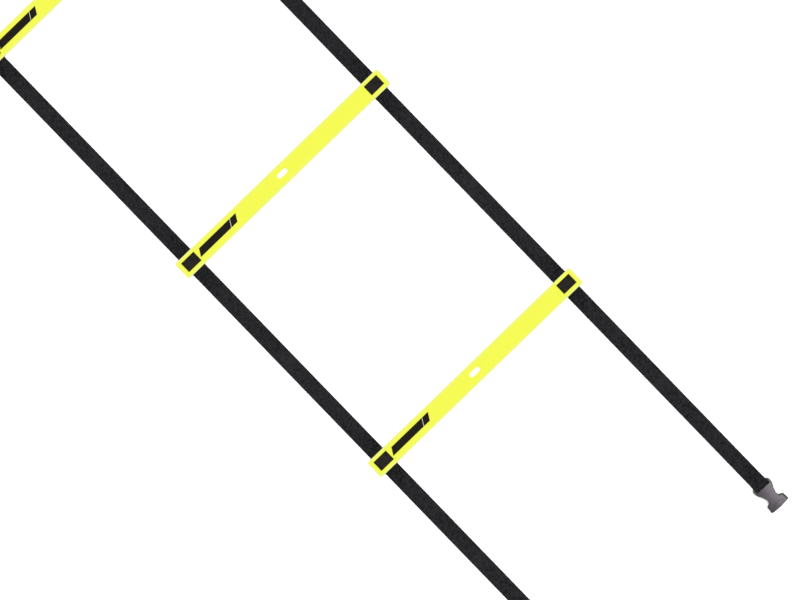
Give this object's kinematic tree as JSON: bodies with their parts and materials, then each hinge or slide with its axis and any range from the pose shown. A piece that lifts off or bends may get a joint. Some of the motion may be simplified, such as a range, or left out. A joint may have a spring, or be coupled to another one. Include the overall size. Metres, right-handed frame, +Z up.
{
  "type": "agility ladder",
  "caption": "Flat agility ladder: plastic rungs with strap windows slide on two webbing straps, which fold flat and end in side-release buckle halves.",
  "frame": {"origin": "on the ground under the middle of the whole ladder", "axes": "+Y along the straps towards the end with the plug buckles, +X along the rungs to the right, +Z up from the ground"},
  "size_m": [0.4392, 3.9164, 0.009],
  "materials": {
    "rung_plastic": "moulded plastic, slightly glossy, with printed black stripes at one end",
    "webbing": "woven polypropylene webbing",
    "thread": "bonded polyester thread",
    "buckle_plastic": "moulded acetal, satin"
  },
  "bodies": {
    "bay_1": {"left_strap_1": "webbing", "right_strap_1": "webbing"},
    "bay_2": {"left_strap_2": "webbing", "right_strap_2": "webbing"},
    "bay_3": {"left_strap_3": "webbing", "right_strap_3": "webbing"},
    "bay_4": {"left_strap_4": "webbing", "right_strap_4": "webbing"},
    "bay_5": {"left_strap_5": "webbing", "right_strap_5": "webbing"},
    "bay_6": {"left_strap_6": "webbing", "right_strap_6": "webbing"},
    "bay_7": {"left_strap_7": "webbing", "right_strap_7": "webbing"},
    "bay_8": {"left_strap_8": "webbing", "right_strap_8": "webbing"},
    "rung_1": {"rung_1": "rung_plastic"},
    "rung_2": {"rung_2": "rung_plastic"},
    "rung_3": {"rung_3": "rung_plastic"},
    "rung_4": {"rung_4": "rung_plastic"},
    "rung_5": {"rung_5": "rung_plastic"},
    "rung_6": {"rung_6": "rung_plastic"},
    "rung_7": {"rung_7": "rung_plastic"},
    "rung_8": {"rung_8": "rung_plastic"},
    "left_front_end": {"left_front_strap_end": "webbing", "left_front_bar_tack_outer": "thread", "left_front_bar_tack_inner": "thread"},
    "left_socket": {"left_socket_buckle": "buckle_plastic"},
    "left_rear_end": {"left_rear_strap_end": "webbing", "left_rear_bar_tack_outer": "thread", "left_rear_bar_tack_inner": "thread"},
    "left_plug": {"left_plug_buckle": "buckle_plastic"},
    "left_plug_prong_outer": {"left_plug_prong_outer": "buckle_plastic"},
    "left_plug_prong_inner": {"left_plug_prong_inner": "buckle_plastic"},
    "right_front_end": {"right_front_strap_end": "webbing", "right_front_bar_tack_outer": "thread", "right_front_bar_tack_inner": "thread"},
    "right_socket": {"right_socket_buckle": "buckle_plastic"},
    "right_rear_end": {"right_rear_strap_end": "webbing", "right_rear_bar_tack_outer": "thread", "right_rear_bar_tack_inner": "thread"},
    "right_plug": {"right_plug_buckle": "buckle_plastic"},
    "right_plug_prong_inner": {"right_plug_prong_inner": "buckle_plastic"},
    "right_plug_prong_outer": {"right_plug_prong_outer": "buckle_plastic"}
  },
  "joints": [
    {"name": "rung_1_slide", "type": "slide", "parent": "bay_1", "child": "rung_1", "axis": [0, 1, 0], "range_m": [-0.19, 0.19]},
    {"name": "rung_2_slide", "type": "slide", "parent": "bay_2", "child": "rung_2", "axis": [0, 1, 0], "range_m": [-0.19, 0.19]},
    {"name": "rung_3_slide", "type": "slide", "parent": "bay_3", "child": "rung_3", "axis": [0, 1, 0], "range_m": [-0.2082, 0.1718]},
    {"name": "rung_4_slide", "type": "slide", "parent": "bay_4", "child": "rung_4", "axis": [0, 1, 0], "range_m": [-0.19, 0.19]},
    {"name": "rung_5_slide", "type": "slide", "parent": "bay_5", "child": "rung_5", "axis": [0, 1, 0], "range_m": [-0.19, 0.19]},
    {"name": "rung_6_slide", "type": "slide", "parent": "bay_6", "child": "rung_6", "axis": [0, 1, 0], "range_m": [-0.19, 0.19]},
    {"name": "rung_7_slide", "type": "slide", "parent": "bay_7", "child": "rung_7", "axis": [0, 1, 0], "range_m": [-0.19, 0.19]},
    {"name": "rung_8_slide", "type": "slide", "parent": "bay_8", "child": "rung_8", "axis": [0, 1, 0], "range_m": [-0.19, 0.19]},
    {"name": "fold_1", "type": "hinge", "parent": "bay_1", "child": "bay_2", "pos_m": [0, -1.26037, 0.0046], "axis": [1, 0, 0], "range_deg": [0, 150]},
    {"name": "fold_2", "type": "hinge", "parent": "bay_2", "child": "bay_3", "pos_m": [0, -0.82837, -0.0002], "axis": [-1, 0, 0], "range_deg": [0, 150]},
    {"name": "fold_3", "type": "hinge", "parent": "bay_3", "child": "bay_4", "pos_m": [0, -0.39637, 0.0046], "axis": [1, 0, 0], "range_deg": [0, 150]},
    {"name": "fold_4", "type": "hinge", "parent": "bay_4", "child": "bay_5", "pos_m": [0, 0.03563, -0.0002], "axis": [-1, 0, 0], "range_deg": [0, 150]},
    {"name": "fold_5", "type": "hinge", "parent": "bay_5", "child": "bay_6", "pos_m": [0, 0.46763, 0.0046], "axis": [1, 0, 0], "range_deg": [0, 150]},
    {"name": "fold_6", "type": "hinge", "parent": "bay_6", "child": "bay_7", "pos_m": [0, 0.89963, -0.0002], "axis": [-1, 0, 0], "range_deg": [0, 150]},
    {"name": "fold_7", "type": "hinge", "parent": "bay_7", "child": "bay_8", "pos_m": [0, 1.33163, 0.0046], "axis": [1, 0, 0], "range_deg": [0, 150]},
    {"name": "left_front_end_fold", "type": "hinge", "parent": "bay_1", "child": "left_front_end", "pos_m": [-0.198, -1.69237, 0.0046], "axis": [1, 0, 0], "range_deg": [-178, 0]},
    {"name": "left_socket_swing", "type": "hinge", "parent": "left_front_end", "child": "left_socket", "pos_m": [-0.198, -1.91397, 0.0045], "axis": [-1, 0, 0], "range_deg": [0, 90]},
    {"name": "left_rear_end_fold", "type": "hinge", "parent": "bay_8", "child": "left_rear_end", "pos_m": [-0.198, 1.76363, 0.0046], "axis": [-1, 0, 0], "range_deg": [-178, 0]},
    {"name": "left_plug_swing", "type": "hinge", "parent": "left_rear_end", "child": "left_plug", "pos_m": [-0.198, 1.91353, 0.0045], "axis": [1, 0, 0], "range_deg": [0, 90]},
    {"name": "left_plug_prong_outer_flex", "type": "hinge", "parent": "left_plug", "child": "left_plug_prong_outer", "pos_m": [-0.20984, 1.92923, 0.0045], "axis": [0, 0, -1], "range_deg": [0, 7], "stiffness_Nm_per_rad": 1},
    {"name": "left_plug_prong_inner_flex", "type": "hinge", "parent": "left_plug", "child": "left_plug_prong_inner", "pos_m": [-0.18616, 1.92923, 0.0045], "axis": [0, 0, 1], "range_deg": [0, 7], "stiffness_Nm_per_rad": 1},
    {"name": "right_front_end_fold", "type": "hinge", "parent": "bay_1", "child": "right_front_end", "pos_m": [0.198, -1.69237, 0.0046], "axis": [1, 0, 0], "range_deg": [-178, 0]},
    {"name": "right_socket_swing", "type": "hinge", "parent": "right_front_end", "child": "right_socket", "pos_m": [0.198, -1.91397, 0.0045], "axis": [-1, 0, 0], "range_deg": [0, 90]},
    {"name": "right_rear_end_fold", "type": "hinge", "parent": "bay_8", "child": "right_rear_end", "pos_m": [0.198, 1.76363, 0.0046], "axis": [-1, 0, 0], "range_deg": [-178, 0]},
    {"name": "right_plug_swing", "type": "hinge", "parent": "right_rear_end", "child": "right_plug", "pos_m": [0.198, 1.91353, 0.0045], "axis": [1, 0, 0], "range_deg": [0, 90]},
    {"name": "right_plug_prong_inner_flex", "type": "hinge", "parent": "right_plug", "child": "right_plug_prong_inner", "pos_m": [0.18616, 1.92923, 0.0045], "axis": [0, 0, -1], "range_deg": [0, 7], "stiffness_Nm_per_rad": 1},
    {"name": "right_plug_prong_outer_flex", "type": "hinge", "parent": "right_plug", "child": "right_plug_prong_outer", "pos_m": [0.20984, 1.92923, 0.0045], "axis": [0, 0, 1], "range_deg": [0, 7], "stiffness_Nm_per_rad": 1}
  ],
  "couplings": [
    {"joint": "fold_2", "follows": "fold_1", "ratio": 1},
    {"joint": "fold_4", "follows": "fold_3", "ratio": 1},
    {"joint": "fold_6", "follows": "fold_5", "ratio": 1}
  ]
}
